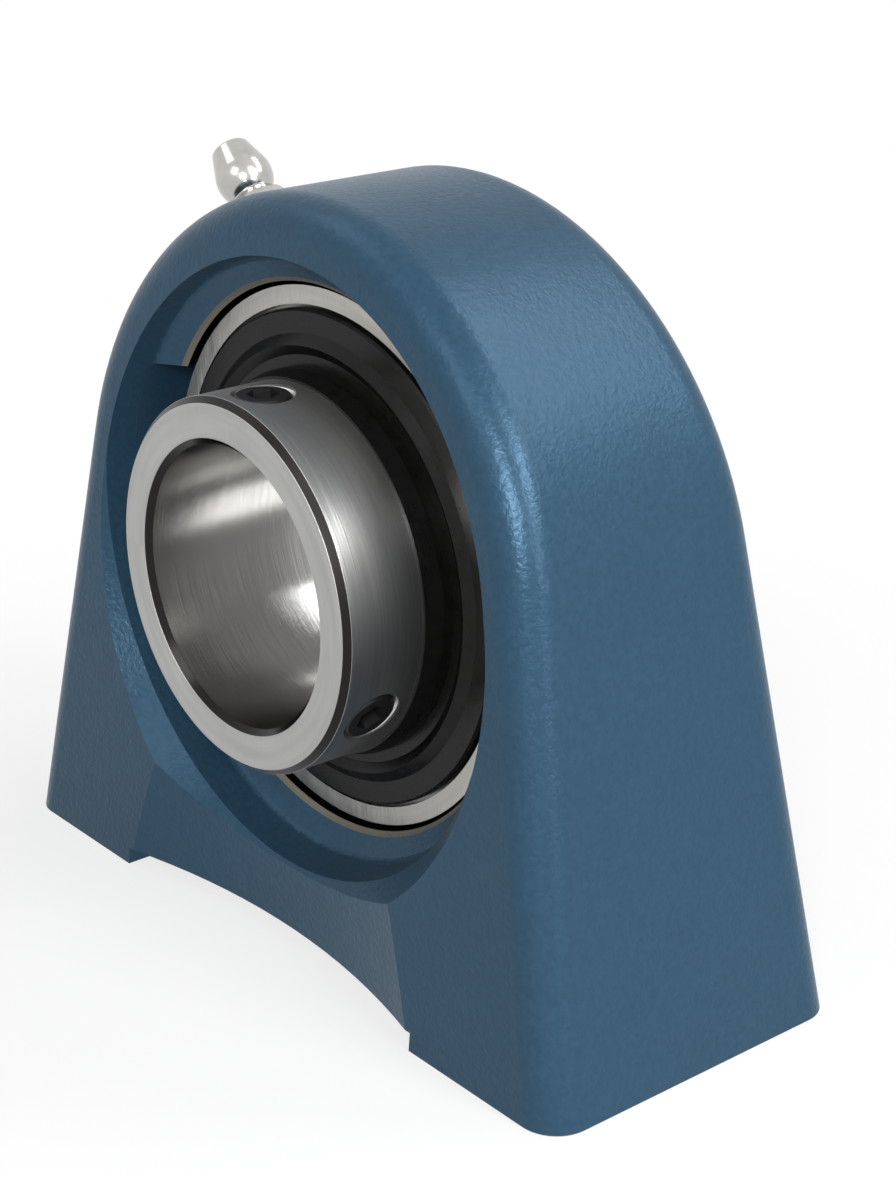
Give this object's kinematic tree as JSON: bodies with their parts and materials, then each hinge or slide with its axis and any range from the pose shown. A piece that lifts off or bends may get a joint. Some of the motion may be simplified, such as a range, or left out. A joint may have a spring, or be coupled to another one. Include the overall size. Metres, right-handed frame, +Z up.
{
  "type": "pillow block bearing",
  "caption": "Short-base pillow block: painted cast housing with tapped feet and a sealed, self-aligning ball bearing insert locked to its shaft by set screws.",
  "frame": {"origin": "on the base plane, midway between the two tapped holes of the feet, below the ball plane of the bearing", "axes": "+X along the base, +Y along the shaft towards the plain end of the inner ring (the screw end points to -Y), +Z up from the base to the shaft"},
  "size_m": [0.0958, 0.0421, 0.0816],
  "materials": {
    "casting_paint": "satin enamel on cast iron, fine orange peel",
    "ring_steel": "ground bearing steel",
    "ball_steel": "polished bearing steel",
    "cage_nylon": "moulded nylon, natural colour",
    "seal_steel": "plain sheet and spring steel",
    "seal_rubber": "matt nitrile rubber",
    "black_sheet_steel": "black coated sheet, satin",
    "blackened_steel": "black oxide, satin",
    "bright_zinc": "bright zinc plate"
  },
  "bodies": {
    "housing": {"housing": "casting_paint", "grease_nipple": "bright_zinc", "nipple_spring": "seal_steel"},
    "outer": {"outer_ring": "ring_steel", "front_seal_plate": "seal_steel", "front_seal_lip": "seal_rubber", "back_seal_plate": "seal_steel", "back_seal_lip": "seal_rubber"},
    "inner": {"inner_ring": "ring_steel", "front_flinger": "black_sheet_steel", "back_flinger": "black_sheet_steel"},
    "cage": {"cage": "cage_nylon"},
    "screw_top": {"grub_screw_top": "blackened_steel"},
    "screw_side": {"grub_screw_side": "blackened_steel"},
    "check_ball": {"nipple_check_ball": "ball_steel"},
    "ball_1": {"ball_1": "ball_steel"},
    "ball_2": {"ball_2": "ball_steel"},
    "ball_3": {"ball_3": "ball_steel"},
    "ball_4": {"ball_4": "ball_steel"},
    "ball_5": {"ball_5": "ball_steel"},
    "ball_6": {"ball_6": "ball_steel"},
    "ball_7": {"ball_7": "ball_steel"},
    "ball_8": {"ball_8": "ball_steel"},
    "ball_9": {"ball_9": "ball_steel"}
  },
  "joints": [
    {"name": "self_align", "type": "hinge", "parent": "housing", "child": "outer", "pos_m": [0, 0, 0.0429], "axis": [1, 0, 0], "range_deg": [-5, 5]},
    {"name": "shaft_spin", "type": "hinge", "parent": "outer", "child": "inner", "pos_m": [0, 0, 0.0429], "axis": [0, 1, 0], "continuous": true},
    {"name": "cage_spin", "type": "hinge", "parent": "outer", "child": "cage", "pos_m": [0, 0, 0.0429], "axis": [0, 1, 0], "continuous": true},
    {"name": "screw_top_travel", "type": "slide", "parent": "inner", "child": "screw_top", "axis": [0, 0, 1], "range_m": [-0.0005, 0.004]},
    {"name": "screw_side_travel", "type": "slide", "parent": "inner", "child": "screw_side", "axis": [0.866, 0, -0.5], "range_m": [-0.0005, 0.004]},
    {"name": "check_ball_press", "type": "slide", "parent": "housing", "child": "check_ball", "axis": [0.7071, 0, -0.7071], "range_m": [0, 0.001], "stiffness_N_per_m": 100, "springref_m": -0.001, "deforming": ["nipple_spring"]},
    {"name": "ball_1_spin", "type": "hinge", "parent": "cage", "child": "ball_1", "pos_m": [-0.00787, 0, 0.06451], "axis": [0, 1, 0], "continuous": true},
    {"name": "ball_2_spin", "type": "hinge", "parent": "cage", "child": "ball_2", "pos_m": [-0.01992, 0, 0.0544], "axis": [0, 1, 0], "continuous": true},
    {"name": "ball_3_spin", "type": "hinge", "parent": "cage", "child": "ball_3", "pos_m": [-0.02265, 0, 0.03891], "axis": [0, 1, 0], "continuous": true},
    {"name": "ball_4_spin", "type": "hinge", "parent": "cage", "child": "ball_4", "pos_m": [-0.01478, 0, 0.02528], "axis": [0, 1, 0], "continuous": true},
    {"name": "ball_5_spin", "type": "hinge", "parent": "cage", "child": "ball_5", "pos_m": [0, 0, 0.0199], "axis": [0, 1, 0], "continuous": true},
    {"name": "ball_6_spin", "type": "hinge", "parent": "cage", "child": "ball_6", "pos_m": [0.01478, 0, 0.02528], "axis": [0, 1, 0], "continuous": true},
    {"name": "ball_7_spin", "type": "hinge", "parent": "cage", "child": "ball_7", "pos_m": [0.02265, 0, 0.03891], "axis": [0, 1, 0], "continuous": true},
    {"name": "ball_8_spin", "type": "hinge", "parent": "cage", "child": "ball_8", "pos_m": [0.01992, 0, 0.0544], "axis": [0, 1, 0], "continuous": true},
    {"name": "ball_9_spin", "type": "hinge", "parent": "cage", "child": "ball_9", "pos_m": [0.00787, 0, 0.06451], "axis": [0, 1, 0], "continuous": true}
  ],
  "couplings": [
    {"joint": "cage_spin", "follows": "shaft_spin", "ratio": 0.39647},
    {"joint": "ball_1_spin", "follows": "shaft_spin", "ratio": -2.3112},
    {"joint": "ball_2_spin", "follows": "shaft_spin", "ratio": -2.3112},
    {"joint": "ball_3_spin", "follows": "shaft_spin", "ratio": -2.3112},
    {"joint": "ball_4_spin", "follows": "shaft_spin", "ratio": -2.3112},
    {"joint": "ball_5_spin", "follows": "shaft_spin", "ratio": -2.3112},
    {"joint": "ball_6_spin", "follows": "shaft_spin", "ratio": -2.3112},
    {"joint": "ball_7_spin", "follows": "shaft_spin", "ratio": -2.3112},
    {"joint": "ball_8_spin", "follows": "shaft_spin", "ratio": -2.3112},
    {"joint": "ball_9_spin", "follows": "shaft_spin", "ratio": -2.3112}
  ]
}
